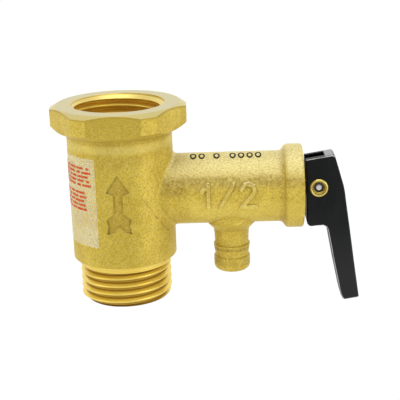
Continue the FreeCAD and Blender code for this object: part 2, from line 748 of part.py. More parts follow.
def pivot_pin():
    """Steel pin through stem and eyelets, stepped down at both ends."""
    half = LEVER_T / 2 - PIN_RECESS
    profile = (
        (0, -half),
        (PIN_END_R, -half),
        (PIN_END_R, -half + PIN_END_L),
        (PIN_R, -half + PIN_END_L),
        (PIN_R, half - PIN_END_L),
        (PIN_END_R, half - PIN_END_L),
        (PIN_END_R, half),
        (0, half),
    )
    points = [Vector(PIN_X + r, y, ARM_Z) for r, y in profile]
    outline = Part.Face(Part.makePolygon(points + [points[0]]))
    return outline.revolve(Vector(PIN_X, 0, ARM_Z), Y_AXIS, 360)


NODES = {
    "valve_body": valve_body,
    "warning_label": warning_label,
    "check_seat": check_seat,
    "seat_oring": seat_oring,
    "check_seal": check_seal,
    "check_seal_washer": check_seal_washer,
    "check_poppet": check_poppet,
    "check_guide": check_guide,
    "check_spring": check_spring,
    "check_retaining_ring": check_retaining_ring,
    "seal_nut": seal_nut,
    "relief_seal": relief_seal,
    "disc_holder": disc_holder,
    "relief_stem": relief_stem,
    "relief_spring": relief_spring,
    "spring_washer": spring_washer,
    "adjuster_plug": adjuster_plug,
    "stem_oring": stem_oring,
    "release_lever": release_lever,
    "front_eyelet": lambda: eyelet(-1),
    "rear_eyelet": lambda: eyelet(1),
    "pivot_pin": pivot_pin,
}

os.makedirs("parts", exist_ok=True)
for node, make in NODES.items():
    export(node, make())
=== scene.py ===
"""Looks, light and camera for the water-heater safety valve.

Blender works in metres. Sizes named here and positions inside the materials are in millimetres.
"""

import json
import math
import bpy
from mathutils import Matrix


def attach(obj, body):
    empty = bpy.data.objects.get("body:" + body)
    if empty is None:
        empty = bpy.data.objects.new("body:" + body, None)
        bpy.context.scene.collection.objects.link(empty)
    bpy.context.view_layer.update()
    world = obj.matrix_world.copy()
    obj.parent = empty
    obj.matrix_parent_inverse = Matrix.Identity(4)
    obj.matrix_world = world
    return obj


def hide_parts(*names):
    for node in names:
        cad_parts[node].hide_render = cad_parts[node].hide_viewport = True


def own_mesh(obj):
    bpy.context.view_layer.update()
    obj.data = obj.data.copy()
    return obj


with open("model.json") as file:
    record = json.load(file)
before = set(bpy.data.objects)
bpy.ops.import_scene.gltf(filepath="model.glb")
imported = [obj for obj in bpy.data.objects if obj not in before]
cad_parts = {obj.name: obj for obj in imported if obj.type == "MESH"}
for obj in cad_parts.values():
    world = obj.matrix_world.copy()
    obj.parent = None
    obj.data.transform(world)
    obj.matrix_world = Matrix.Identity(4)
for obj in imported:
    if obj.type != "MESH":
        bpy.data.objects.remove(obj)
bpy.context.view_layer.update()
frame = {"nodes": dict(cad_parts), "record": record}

from types import SimpleNamespace

import bpy
from mathutils import Matrix, Vector

nodes = frame["nodes"]

MM = 0.001

# ---- the valve's own measures, from the CAD part ----
BODY_R = 11.80
LABEL_R = 11.88                  # outside of the film
SHOULDER_Z = 9.76                # between the male thread and the body
HEAD_Z = 39.5                    # anything above this is the hexagon
HEX_TOP_Z = 44.85
HEX_TOP_CHAMFER_R = 13.80
HEX_TOP_CHAMFER_SLOPE = 0.75 / 1.39
BORE_R = 10.6                    # just outside the female thread
MOUTH_LOW_Z = 43.6               # where the outlet's cone starts
ARM_Z = 24.64
ARM_R = 8.03
ARM_START_X = 14.0
FLANGE_FACE_X = 40.78
PLUG_BORE_R = 7.4
ARROW_DEPTH = 0.42
ARROW_HALF_W = 3.2
ARROW_Z = (16.0, 32.0)           # sunk arrow, with some room at both ends
MARK_HEIGHT = 0.45
MARK_X = (17.0, 31.0)            # raised size mark, with some room at both ends
MARK_LOW_Z = 20.5
PIN_X = 44.39
PIN_END_R = 0.58
STEM_FLAT_Y = 1.55               # half the thickness of the stem's tongue
SLOT_END_X = 45.70               # inner face of the lever's web
LEVER_FACE_Y = 2.69
SCRATCH_X = (5.0, 10.5)          # a thin slanting scratch low on the front, towards the arm
SCRATCH_Z = (26.0, 16.6)

# ---- colours, linear ----
BLASTED_DARK = (0.570, 0.415, 0.050)
BLASTED_LIGHT = (0.650, 0.495, 0.075)
# painted sheen: a paler tone for forged faces that look up
UPWARD_SHEEN = (0.68, 0.64, 0.36)
# painted shade: a darker tone for the body's front, where it faces the dark camera side
FRONT_SHADE = (0.36, 0.27, 0.018)
GRAIN_DARK = (0.26, 0.17, 0.02)
GRAIN_LIGHT = (0.86, 0.78, 0.36)
# soil and painted shade: darker patches at the joint, in the arrow's floor, at the barb's steps, under the
# head and along the arm
SOIL_AND_SHADE = (0.27, 0.18, 0.025)
# painted shade: the dark tone laid into crevices
CREVICE_SHADE = (0.16, 0.10, 0.015)
# painted highlight: a lighter band round the body just below the hexagon
BELOW_HEAD_HIGHLIGHT = (0.78, 0.70, 0.26)
# painted light: a brighter tone for the arm's lower front
LOWER_ARM_LIGHT = (0.86, 0.68, 0.14)
WALL_SHADOW = (0.22, 0.14, 0.02)
MARK_GLINT = (1.0, 0.97, 0.66)
ARROW_GLINT = (0.86, 0.76, 0.38)
MARK_TOP = (0.88, 0.80, 0.40)
PIT_BROWN = (0.14, 0.09, 0.03)
SCRATCH_BROWN = (0.15, 0.09, 0.02)
# darker lip on the hexagon, and painted shade on its front flat and near its corners
HEAD_LIP_AND_SHADE = (0.33, 0.22, 0.03)
TURNED_DARK = (0.66, 0.47, 0.070)
TURNED_LIGHT = (0.82, 0.64, 0.15)
# painted sheen: paler, duller tones for the hexagon's turned top and its chamfer, which face up
TOP_CHAMFER_SHEEN = (0.50, 0.41, 0.13)
TOP_FACE_SHEEN = (0.375, 0.330, 0.145)
# painted shade: a darker, warmer tone inside the outlet
BORE_SHADE = (0.76, 0.48, 0.045)
# painted sheen: a paler tone for the outlet's cone, which faces up
CONE_SHEEN = (0.54, 0.44, 0.16)
# painted shadow: a thin dark line under the outlet cone's rim
CONE_RIM_SHADE = (0.34, 0.20, 0.02)
# painted shade: the dark tone laid into the thread's grooves
GROOVE_SHADE = (0.34, 0.19, 0.015)
END_RIM_BROWN = (0.12, 0.07, 0.02)
SATIN_DARK = (0.56, 0.42, 0.09)
SATIN_LIGHT = (0.74, 0.60, 0.18)
EYELET_SHADOW = (0.035, 0.025, 0.010)
PIN_SHADOW = (0.020, 0.015, 0.010)
LEVER_BLACK = (0.0020, 0.0030, 0.0028)
LEVER_SCUFF = (0.0060, 0.0065, 0.0065)
HANDLE_GREY = (0.0175, 0.0175, 0.0180)
# painted sheen: a light grey for the lever web's upward top
WEB_TOP_SHEEN = (0.42, 0.42, 0.43)
# painted highlight: a light grey for the lever's front edges
EDGE_HIGHLIGHT = (0.46, 0.46, 0.46)
FILM_MILK = (0.88, 0.82, 0.54)


# ---------------------------------------------------------------- node helpers
class Nodes:
    """Short calls for building one node tree."""

    def __init__(self, tree):
        self.tree = tree
        tree.nodes.clear()

    def new(self, kind, **values):
        node = self.tree.nodes.new(kind)
        for key, value in values.items():
            setattr(node, key, value)
        return node

    def link(self, source, target):
        self.tree.links.new(source, target)

    def feed(self, target, value):
        """Give an input either another node's output or a plain value."""
        if isinstance(value, bpy.types.NodeSocket):
            self.link(value, target)
        else:
            target.default_value = value

    def math(self, operation, a, b=0.0):
        node = self.new("ShaderNodeMath", operation=operation)
        self.feed(node.inputs[0], a)
        self.feed(node.inputs[1], b)
        return node.outputs[0]

    def ramp(self, value, low, high, at_low=0.0, at_high=1.0, smooth=True):
        """Step, smooth or straight, from at_low to at_high as value goes from low to high."""
        node = self.new("ShaderNodeMapRange", interpolation_type="SMOOTHSTEP" if smooth else "LINEAR")
        self.feed(node.inputs["Value"], value)
        node.inputs["From Min"].default_value = low
        node.inputs["From Max"].default_value = high
        node.inputs["To Min"].default_value = at_low
        node.inputs["To Max"].default_value = at_high
        return node.outputs["Result"]

    def above(self, value, low, high):
        """Mask that rises from 0 to 1 between low and high."""
        return self.ramp(value, low, high)

    def below(self, value, low, high):
        """Mask that falls from 1 to 0 between low and high."""
        return self.ramp(value, low, high, 1.0, 0.0)

    def band(self, value, low, high, soft):
        """Mask that is 1 between low and high and falls to 0 over soft on either side."""
        return self.both(self.above(value, low - soft, low), self.below(value, high, high + soft))

    def both(self, *masks):
        """Product of several masks or strengths."""
        result = masks[0]
        for mask in masks[1:]:
            result = self.math("MULTIPLY", result, mask)
        return result

    def either(self, *masks):
        """The strongest of several masks."""
        result = masks[0]
        for mask in masks[1:]:
            result = self.math("MAXIMUM", result, mask)
        return result


class Shader(Nodes):
    """One material, built from nodes."""

    def __init__(self, name):
        self.material = bpy.data.materials.new(name)
        self.material.use_nodes = True
        super().__init__(self.material.node_tree)
        self.output = self.new("ShaderNodeOutputMaterial")
        self.place = self.new("ShaderNodeTexCoord").outputs["Object"]

    def axes(self):
        """The piece's own x, y and z in millimetres; they ride with the piece."""
        scaled = self.new("ShaderNodeVectorMath", operation="SCALE")
        self.link(self.place, scaled.inputs[0])
        scaled.inputs["Scale"].default_value = 1.0 / MM
        split = self.new("ShaderNodeSeparateXYZ")
        self.link(scaled.outputs[0], split.inputs[0])
        return split.outputs

    def facing(self):
        """The piece's own normal, split into x, y and z; it turns with the piece."""
        split = self.new("ShaderNodeSeparateXYZ")
        self.link(self.new("ShaderNodeTexCoord").outputs["Normal"], split.inputs[0])
        return split.outputs

    def radius(self, a, b):
        """Distance from an axis, given the two coordinates across it."""
        square = self.math("ADD", self.both(a, a), self.both(b, b))
        return self.math("SQRT", square)

    def noise(self, scale, detail, roughness=0.55, stretch=(1.0, 1.0, 1.0), offset=0.0):
        """Noise in object space; scale is in features per metre."""
        node = self.new("ShaderNodeTexNoise")
        node.inputs["Scale"].default_value = scale
        node.inputs["Detail"].default_value = detail
        node.inputs["Roughness"].default_value = roughness
        mapping = self.new("ShaderNodeMapping")
        mapping.inputs["Scale"].default_value = stretch
        mapping.inputs["Location"].default_value = (offset, offset * 0.7, -offset)
        self.link(self.place, mapping.inputs["Vector"])
        self.link(mapping.outputs[0], node.inputs["Vector"])
        return node.outputs["Fac"]

    def speckle(self, scale, low, high):
        """Small pits or specks from cell noise, 1 at the middle of a cell; scale is in cells per metre."""
        node = self.new("ShaderNodeTexVoronoi")
        node.inputs["Scale"].default_value = scale
        self.link(self.place, node.inputs["Vector"])
        return self.below(node.outputs["Distance"], low, high)

    def crevice(self, distance):
        """1 deep in a crevice, 0 in the open, from how much of the near surroundings is hidden."""
        node = self.new("ShaderNodeAmbientOcclusion", samples=6, only_local=True)
        node.inputs["Distance"].default_value = distance * MM
        return self.below(node.outputs["AO"], 0.30, 0.95)

    def mix(self, factor, a, b):
        """Colour a where factor is 0, b where it is 1."""
        node = self.new("ShaderNodeMix", data_type="RGBA")
        self.feed(node.inputs["Factor"], factor)
        for target, value in ((node.inputs[6], a), (node.inputs[7], b)):
            self.feed(target, value + (1.0,) if isinstance(value, tuple) else value)
        return node.outputs[2]

    def over(self, under, color, *masks):
        """Lay a colour over another, as strongly as the product of the masks says."""
        return self.mix(self.both(*masks), under, color)

    def soft_edges(self, radius):
        node = self.new("ShaderNodeBevel", samples=4)
        node.inputs["Radius"].default_value = radius * MM
        return node.outputs[0]

    def bump(self, height, depth, normal=None, strength=1.0):
        node = self.new("ShaderNodeBump")
        node.inputs["Strength"].default_value = strength
        node.inputs["Distance"].default_value = depth * MM
        self.link(height, node.inputs["Height"])
        if normal is not None:
            self.link(normal, node.inputs["Normal"])
        return node.outputs[0]

    def surface(self, color, roughness, normal, metallic=0.0, **more):
        shader = self.new("ShaderNodeBsdfPrincipled")
        self.feed(shader.inputs["Base Color"], color + (1.0,) if isinstance(color, tuple) else color)
        self.feed(shader.inputs["Roughness"], roughness)
        self.feed(shader.inputs["Metallic"], metallic)
        self.link(normal, shader.inputs["Normal"])
        for key, value in more.items():
            self.feed(shader.inputs[key.replace("_", " ")], value)
        self.link(shader.outputs[0], self.output.inputs["Surface"])
        return shader


def dress(obj, material):
    """Give a piece its one material."""
    obj.data.materials.clear()
    obj.data.materials.append(material)


# ---------------------------------------------------------------- the forged body
def body_places(s):
    """Positions, normals and masks that the forged body's layers share."""
    x, y, z = s.axes()
    _, ny, nz = s.facing()
    around = s.radius(x, y)
    from_arm = s.radius(y, s.math("SUBTRACT", z, ARM_Z))
    past_chamfer = s.math("MAXIMUM", s.math("SUBTRACT", around, HEX_TOP_CHAMFER_R), 0.0)
    chamfer_drop = s.both(past_chamfer, HEX_TOP_CHAMFER_SLOPE)
    return SimpleNamespace(
        x=x, z=z, ny=ny, nz=nz,
        around=around,
        from_arm=from_arm,
        front=s.below(y, -2.0, 0.0),
        water_way=s.below(x, 12.0, 13.0),
        # height above the hexagon's turned top: 0 on its face and chamfer, negative on the forged flats
        over_top=s.math("ADD", s.math("SUBTRACT", z, HEX_TOP_Z), chamfer_drop),
        grain=s.noise(2700.0, 3.0, 0.75),
        blast=s.noise(1500.0, 4.0, 0.70, offset=0.3),
        turned=s.noise(900.0, 3.0, 0.6, stretch=(0.12, 0.12, 9.0)),
    )


def turned_zones(s, at):
    """Masks of the machined surfaces: male thread, top, outlet bore, and the arm's end and bore."""
    below_shoulder = s.below(at.z, SHOULDER_Z - 0.03, SHOULDER_Z + 0.03)
    thread = s.both(below_shoulder, s.below(at.x, ARM_START_X, ARM_START_X + 1.0))
    top = s.both(s.above(at.over_top, -0.06, -0.02), s.above(at.z, HEX_TOP_Z - 2.0, HEX_TOP_Z - 1.9))
    bore = s.both(s.below(at.around, BORE_R - 0.05, BORE_R), s.above(at.z, SHOULDER_Z, SHOULDER_Z + 0.1))
    arm_end = s.above(at.x, FLANGE_FACE_X - 0.04, FLANGE_FACE_X - 0.01)
    arm_bore = s.both(s.below(at.from_arm, PLUG_BORE_R - 0.1, PLUG_BORE_R), s.above(at.x, 12.0, 13.0))
    every = s.either(thread, top, bore, arm_end, arm_bore)
    return SimpleNamespace(thread=thread, top=top, bore=bore, every=every)


def blasted_tone(s, at):
    """The forged skin's colour before dirt and wear: patchy and grained, with painted sheen on faces that
    look up and painted shade on the body's front.
    """
    patches = s.noise(210.0, 3.0, 0.6, offset=0.1)
    tone = s.mix(s.ramp(patches, 0.36, 0.66), BLASTED_DARK, BLASTED_LIGHT)
    # painted sheen: paler where the forged skin faces up, more so higher up
    tone = s.over(tone, UPWARD_SHEEN, s.above(at.nz, 0.10, 0.85), s.ramp(at.z, 20.0, 26.0, 0.0, 0.62))
    # painted shade on the body's flat-on front, which faces the dark camera side
    tone = s.over(tone, FRONT_SHADE, s.below(at.ny, -0.97, -0.85), s.below(at.x, 9.0, 12.0), 0.32)
    tone = s.mix(s.ramp(at.grain, 0.36, 0.60, 0.55, 0.0), tone, GRAIN_DARK)
    return s.mix(s.ramp(at.blast, 0.55, 0.70, 0.0, 0.22), tone, GRAIN_LIGHT)


def arrow_zone(s, at):
    """The part of the body's front that holds the sunk arrow."""
    return s.both(at.front, s.below(at.x, ARROW_HALF_W, ARROW_HALF_W + 0.4), s.band(at.z, *ARROW_Z, 0.5))


def mark_zone(s, at):
    """The part of the arm's front that holds the raised size mark."""
    return s.both(at.front, s.band(at.x, *MARK_X, 0.2), s.above(at.z, MARK_LOW_Z, MARK_LOW_Z + 1.0))


def add_soil_and_shade(s, at, tone):
    """Darker patches and bands, partly soil and partly painted shade, broken up by the blast grain; a painted
    highlight band below the head, painted shade in crevices, and painted light on the arm's lower front.
    """
    arm_band = s.both(at.front, s.above(at.x, 13.0, 16.0), s.band(at.z, 27.3, 28.4, 1.1))
    at_joint = s.both(at.front, s.band(at.x, 11.0, 13.5, 3.0), s.band(at.z, 26.0, 28.0, 1.8))
    arrow_floor = s.below(at.around, BODY_R - ARROW_DEPTH + 0.04, BODY_R - 0.10)
    barb = s.both(s.below(at.z, 15.0, 16.0), s.above(at.x, 18.0, 19.0))
    barb_steps = s.either(s.band(at.z, 10.35, 10.85, 0.25), s.both(s.band(at.z, 6.9, 8.1, 0.3), 0.5))
    under_head = s.both(at.front, s.band(at.z, 37.9, 38.9, 0.4))
    below_head = s.both(at.front, s.band(at.z, 33.2, 34.8, 1.0), s.band(at.x, -3.0, 4.0, 3.0))
    flange_step = s.both(at.front, s.band(at.x, 35.6, 36.5, 0.5))
    # darker patches and bands, partly soil and partly painted shade: the concave joint, the band along the
    # arm, the sunk arrow's floor, the barb's step corners, under the head and at the flange's step
    soiled_and_shaded = s.either(
        at_joint,
        s.both(arm_band, 0.78),
        s.both(arrow_zone(s, at), arrow_floor, 0.42),
        s.both(barb, barb_steps),
        s.both(under_head, 0.30),
        s.both(flange_step, 0.45),
        s.both(below_head, 0.34),
    )
    tone = s.over(tone, SOIL_AND_SHADE, soiled_and_shaded, s.ramp(at.blast, 0.34, 0.60, 1.0, 0.30))
    # painted highlight: a lighter band round the body just below the hexagon
    tone = s.over(tone, BELOW_HEAD_HIGHLIGHT, s.band(at.z, 36.4, 37.0, 1.1), at.water_way, 0.24)

    coarse = s.ramp(at.blast, 0.30, 0.60, 1.0, 0.55)
    off_body = s.ramp(at.around, BODY_R + 0.5, BODY_R + 2.0, 0.30, 0.80)
    # painted shade from ambient occlusion in crevices, stronger off the body and where the grain is coarse
    tone = s.over(tone, CREVICE_SHADE, s.crevice(0.55), coarse, off_body)
    # painted reflection of the white floor: the arm's lower front made brighter
    lower_arm = s.both(at.front, s.above(at.x, ARM_START_X, ARM_START_X + 3.0), s.band(at.z, 20.2, 22.6, 1.6))
    return s.over(tone, LOWER_ARM_LIGHT, lower_arm, 0.20)


def add_mark_and_arrow(s, at, tone):
    """Walls of the raised mark and sunk arrow: those that face down are darker, those that face up glint."""
    mark_side = s.band(at.from_arm, ARM_R + 0.08, ARM_R + MARK_HEIGHT - 0.08, 0.03)
    arrow_side = s.band(at.around, BODY_R - ARROW_DEPTH + 0.05, BODY_R - 0.04, 0.03)
    mark_wall = s.both(mark_zone(s, at), mark_side)
    arrow_wall = s.both(arrow_zone(s, at), arrow_side)
    faces_up = s.above(at.nz, 0.1, 0.7)
    tone = s.over(tone, WALL_SHADOW, s.either(mark_wall, arrow_wall), s.ramp(at.nz, -0.6, 0.2, 0.85, 0.0))
    tone = s.over(tone, MARK_GLINT, mark_wall, faces_up, 0.95)
    tone = s.over(tone, ARROW_GLINT, arrow_wall, faces_up, 0.45)
    raised = s.above(at.from_arm, ARM_R + MARK_HEIGHT - 0.06, ARM_R + MARK_HEIGHT - 0.03)
    return s.over(tone, MARK_TOP, mark_zone(s, at), raised, s.above(at.blast, 0.35, 0.65), 0.20)


def add_wear(s, at, tone):
    """Pits, one thin scratch, a darker lip under the hexagon's top chamfer, and painted shade on the
    hexagon's front flat and near its corners.
    """
    pits = s.speckle(1150.0, 0.05, 0.17)
    more_here = s.both(at.front, s.band(at.x, 4.5, 8.0, 1.5), s.band(at.z, 19.0, 27.0, 2.0), 0.20)
    chance = s.math("ADD", s.noise(120.0, 2.0, offset=0.7), more_here)
    tone = s.over(tone, PIT_BROWN, pits, s.above(chance, 0.52, 0.62), 0.80)

    along = s.ramp(at.x, *SCRATCH_X, *SCRATCH_Z, smooth=False)
    wander = s.both(s.math("SUBTRACT", s.noise(420.0, 3.0, offset=0.9), 0.5), 2.2)
    off_line = s.math("ABSOLUTE", s.math("SUBTRACT", at.z, s.math("ADD", along, wander)))
    scratch = s.both(at.front, s.band(at.x, *SCRATCH_X, 0.1), s.below(off_line, 0.08, 0.24))
    broken = s.above(s.noise(900.0, 2.0, offset=0.2), 0.40, 0.54)
    tone = s.over(tone, SCRATCH_BROWN, scratch, broken, 0.62)

    # a darker lip under the top's chamfer; painted shade on the front flat and along its edges near the
    # corners
    lip = s.both(s.band(at.over_top, -0.34, -0.08, 0.08), s.above(at.z, 41.0, 42.0))
    flat = s.both(s.below(at.ny, -0.997, -0.990), s.above(at.z, HEAD_Z - 0.5, HEAD_Z + 0.5))
    near_corner = s.above(s.math("ABSOLUTE", at.x), 3.8, 6.4)
    flat_edge = s.both(flat, near_corner, s.ramp(at.blast, 0.30, 0.60, 1.0, 0.35))
    return s.over(tone, HEAD_LIP_AND_SHADE, s.either(s.both(lip, 0.55), s.both(flat, 0.14), s.both(flat_edge, 0.55)))


def turned_tone(s, at, zones, flat_top):
    """Colour of the machined surfaces, with painted sheen on the top, its chamfer and the outlet's cone, and
    painted shade in the thread's grooves, inside the outlet and under the cone's rim.
    """
    tone = s.mix(s.ramp(at.turned, 0.35, 0.70), TURNED_DARK, TURNED_LIGHT)
    # painted sheen on the turned top and chamfer, which face up
    tone = s.over(tone, TOP_CHAMFER_SHEEN, zones.top, 0.85)
    tone = s.over(tone, TOP_FACE_SHEEN, flat_top, 0.85)

    # painted shade inside the outlet bore, stronger towards the wall and deeper down
    toward_wall = s.ramp(at.around, 9.5, 10.2, 0.45, 1.0)
    tone = s.over(tone, BORE_SHADE, zones.bore, toward_wall, s.ramp(at.z, 43.3, 44.0, 0.75, 0.0))
    cone = s.both(zones.bore, s.above(at.z, MOUTH_LOW_Z, MOUTH_LOW_Z + 0.3), s.above(at.nz, 0.3, 0.6))
    # painted sheen on the outlet's cone, which faces up
    tone = s.over(tone, CONE_SHEEN, cone, 0.60)
    # painted shadow: a thin dark line at the top of the outlet's cone
    cone_rim = s.both(s.above(at.z, 44.3, 44.5), s.band(at.around, 10.26, 10.40, 0.05))
    tone = s.over(tone, CONE_RIM_SHADE, zones.bore, cone_rim, 0.70)

    # painted shade in the male thread's grooves
    groove = s.both(s.below(at.around, 9.45, 9.98), s.above(at.around, 8.0, 9.0))
    tone = s.over(tone, GROOVE_SHADE, zones.thread, groove, 0.85)
    return s.over(tone, END_RIM_BROWN, zones.thread, s.below(at.z, 0.15, 0.45), 0.75)


def forged_brass():
    """Shot-blasted forging, bright where it was machined: threads, end faces and bores."""
    s = Shader("forged_brass")
    at = body_places(s)
    zones = turned_zones(s, at)
    flat_top = s.both(zones.top, s.above(at.nz, 0.80, 0.95))

    forged = blasted_tone(s, at)
    forged = add_soil_and_shade(s, at, forged)
    forged = add_mark_and_arrow(s, at, forged)
    forged = add_wear(s, at, forged)
    color = s.mix(zones.every, forged, turned_tone(s, at, zones, flat_top))

    rough = s.math("ADD", s.ramp(zones.every, 0.0, 1.0, 0.52, 0.34, smooth=False), s.both(at.grain, 0.10))
    metal = s.math("SUBTRACT", s.ramp(zones.every, 0.0, 1.0, 0.58, 0.80), s.both(flat_top, 0.35))

    coarse = s.bump(at.blast, 0.055, s.soft_edges(0.30), 0.9)
    fine = s.bump(at.grain, 0.032, coarse, 0.9)
    tool_lines = s.bump(at.turned, 0.006, s.soft_edges(0.07), 0.5)
    normal = s.new("ShaderNodeMix", data_type="VECTOR")
    s.feed(normal.inputs["Factor"], zones.every)
    s.link(fine, normal.inputs[4])
    s.link(tool_lines, normal.inputs[5])
    s.surface(color, rough, normal.outputs[1], metallic=metal)
    return s.material


# ---------------------------------------------------------------- the other materials
def from_pin_axis(s, x, z):
    """Distance from the lever's pivot axis."""
    return s.radius(s.math("SUBTRACT", x, PIN_X), s.math("SUBTRACT", z, ARM_Z))


def machined_brass():
    """Turned brass, dark where the stem runs between flange and lever and in the eyelets' rolled step."""
    s = Shader("machined_brass")
    x, y, z = s.axes()
    rings = s.noise(1500.0, 3.0, 0.6, stretch=(6.0, 1.0, 1.0))
    color = s.mix(s.ramp(rings, 0.3, 0.7), SATIN_DARK, SATIN_LIGHT)
    from_pin = from_pin_axis(s, x, z)
    off_middle = s.math("ABSOLUTE", y)
    stem_end = s.both(s.above(x, 39.5, 40.5), s.below(off_middle, STEM_FLAT_Y, STEM_FLAT_Y + 0.07), 0.92)
    step = s.both(s.band(from_pin, 1.50, 1.60, 0.03), s.above(off_middle, 2.6, 2.7), 0.75)
    mouth = s.both(s.below(from_pin, 1.12, 1.20), s.above(off_middle, 2.2, 2.3), 0.85)
    color = s.over(color, EYELET_SHADOW, s.either(stem_end, step, mouth))
    normal = s.bump(rings, 0.006, s.soft_edges(0.06), 0.5)
    s.surface(color, s.ramp(rings, 0.3, 0.7, 0.24, 0.38), normal, metallic=0.85)
    return s.material


def steel(name, tint, rough_low, rough_high):
    """Drawn or turned steel, dark on the shoulder round the pivot pin's end."""
    s = Shader(name)
    x, _, z = s.axes()
    streaks = s.noise(1800.0, 4.0, 0.6, stretch=(1.0, 4.0, 1.0))
    color = s.mix(s.ramp(streaks, 0.3, 0.7), tuple(c * 0.78 for c in tint), tint)
    shoulder = s.above(from_pin_axis(s, x, z), PIN_END_R + 0.02, PIN_END_R + 0.08)
    color = s.over(color, PIN_SHADOW, s.above(x, 40.0, 41.0), shoulder, 0.95)
    normal = s.bump(streaks, 0.005, s.soft_edges(0.05), 0.5)
    s.surface(color, s.ramp(streaks, 0.3, 0.7, rough_low, rough_high), normal, metallic=0.95)
    return s.material


def black_plastic():
    """Moulded lever: fine skin, faint rub marks, greyer along the handle, with a painted sheen on the web's
    top and painted highlights along its front edges.
    """
    s = Shader("black_plastic")
    x, y, z = s.axes()
    nx, ny, nz = s.facing()
    skin = s.noise(4200.0, 3.0, 0.6)
    scuffs = s.noise(260.0, 4.0, 0.7, stretch=(1.0, 1.0, 0.35), offset=0.4)
    color = s.mix(s.ramp(scuffs, 0.40, 0.75), LEVER_BLACK, LEVER_SCUFF)
    color = s.over(color, HANDLE_GREY, s.ramp(z, 2.0, 22.0, 0.85, 0.0))
    # painted sheen on the web's top face, which faces up
    on_web = s.both(s.above(x, SLOT_END_X - 0.1, SLOT_END_X + 0.3), s.above(z, 30.0, 31.0))
    color = s.over(color, WEB_TOP_SHEEN, s.above(nz, 0.80, 0.95), on_web, s.ramp(skin, 0.35, 0.65, 0.35, 0.80))

    # painted highlight along the front edge of the lever's top and of its handle
    front_edge = s.both(s.band(ny, -0.85, -0.50, 0.08), s.band(y, -LEVER_FACE_Y, -LEVER_FACE_Y + 0.11, 0.04))
    handle_edge = s.both(s.below(nx, -0.55, -0.35), s.below(z, 15.0, 16.0))
    edge_glint = s.both(front_edge, s.either(s.above(nz, 0.35, 0.55), handle_edge))
    color = s.over(color, EDGE_HIGHLIGHT, edge_glint, s.ramp(scuffs, 0.30, 0.55, 0.45, 0.95))

    rough = s.math("ADD", s.ramp(skin, 0.3, 0.7, 0.24, 0.32), s.both(scuffs, 0.08))
    normal = s.bump(skin, 0.006, s.soft_edges(0.08), 0.5)
    side_on = s.either(s.below(nx, -0.95, -0.80), s.both(s.above(nz, 0.75, 0.90), 0.6))
    s.surface(color, rough, normal, Specular_IOR_Level=s.ramp(side_on, 0.0, 1.0, 0.13, 0.01))
    return s.material


def white_plastic():
    """Moulded acetal of the check valve, slightly uneven in tone."""
    s = Shader("white_plastic")
    skin = s.noise(2600.0, 3.0, 0.5)
    tone = s.noise(180.0, 2.0, 0.5, offset=0.2)
    color = s.mix(s.ramp(tone, 0.3, 0.7), (0.70, 0.69, 0.64), (0.80, 0.79, 0.75))
    normal = s.bump(skin, 0.006, s.soft_edges(0.08), 0.5)
    s.surface(color, s.ramp(skin, 0.3, 0.7, 0.36, 0.50), normal, Subsurface_Weight=0.08)
    return s.material


def black_rubber():
    """Seals and O-rings with a faint grey bloom."""
    s = Shader("black_rubber")
    skin = s.noise(3400.0, 4.0, 0.7)
    bloom = s.noise(300.0, 3.0, 0.6, offset=0.5)
    color = s.mix(s.ramp(bloom, 0.35, 0.75), (0.018, 0.018, 0.018), (0.045, 0.044, 0.043))
    s.surface(color, s.ramp(skin, 0.3, 0.7, 0.55, 0.75), s.bump(skin, 0.01, None, 0.6))
    return s.material


def label_film():
    """Clear film with a milky bloom: the blasted brass shows through it, paler."""
    s = Shader("label_film")
    bubbles = s.noise(3600.0, 3.0, 0.75)
    cloud = s.noise(170.0, 3.0, 0.6, offset=0.6)
    see_through = s.math("ADD", s.ramp(cloud, 0.3, 0.7, 0.56, 0.46), s.ramp(bubbles, 0.36, 0.64, 0.0, 0.42))
    shader = s.surface(FILM_MILK, s.ramp(bubbles, 0.3, 0.7, 0.30, 0.44), s.bump(bubbles, 0.014, None, 0.7))
    clear = s.new("ShaderNodeBsdfTransparent")
    milky = s.new("ShaderNodeMixShader")
    s.feed(milky.inputs[0], see_through)
    s.link(shader.outputs[0], milky.inputs[1])
    s.link(clear.outputs[0], milky.inputs[2])
    s.link(milky.outputs[0], s.output.inputs["Surface"])
    return s.material


def ink(name, color, worn):
    """Printing ink with uneven cover."""
    s = Shader(name)
    cover = s.noise(2200.0, 4.0, 0.7)
    shade = s.mix(s.ramp(cover, 0.35, 0.70), color, worn)
    normal = s.bump(cover, 0.004, None, 0.4)
    s.surface(shade, s.ramp(cover, 0.3, 0.7, 0.55, 0.75), normal, Specular_IOR_Level=0.08)
    return s.material


# ---------------------------------------------------------------- printed marks
INK_T = 0.02 * MM


def mesh_object(name, verts, faces):
    mesh = bpy.data.meshes.new(name)
    mesh.from_pydata(verts, [], faces)
    mesh.validate()
    mesh.update()
    obj = bpy.data.objects.new(name, mesh)
    bpy.context.scene.collection.objects.link(obj)
    return obj


def on_body(angle_deg, z, lift):
    """A point on the label: angle from the front (-Y) towards -X, z in millimetres, lift in metres."""
    r = LABEL_R * MM + lift
    a = math.radians(angle_deg)
    return (-r * math.sin(a), -r * math.cos(a), z * MM)


def on_arm(x, angle_deg, lift):
    """A point on the arm: x in millimetres, angle from the front (-Y) up towards +Z, lift in metres."""
    r = ARM_R * MM + lift
    a = math.radians(angle_deg)
    return (x * MM, -r * math.cos(a), ARM_Z * MM + r * math.sin(a))


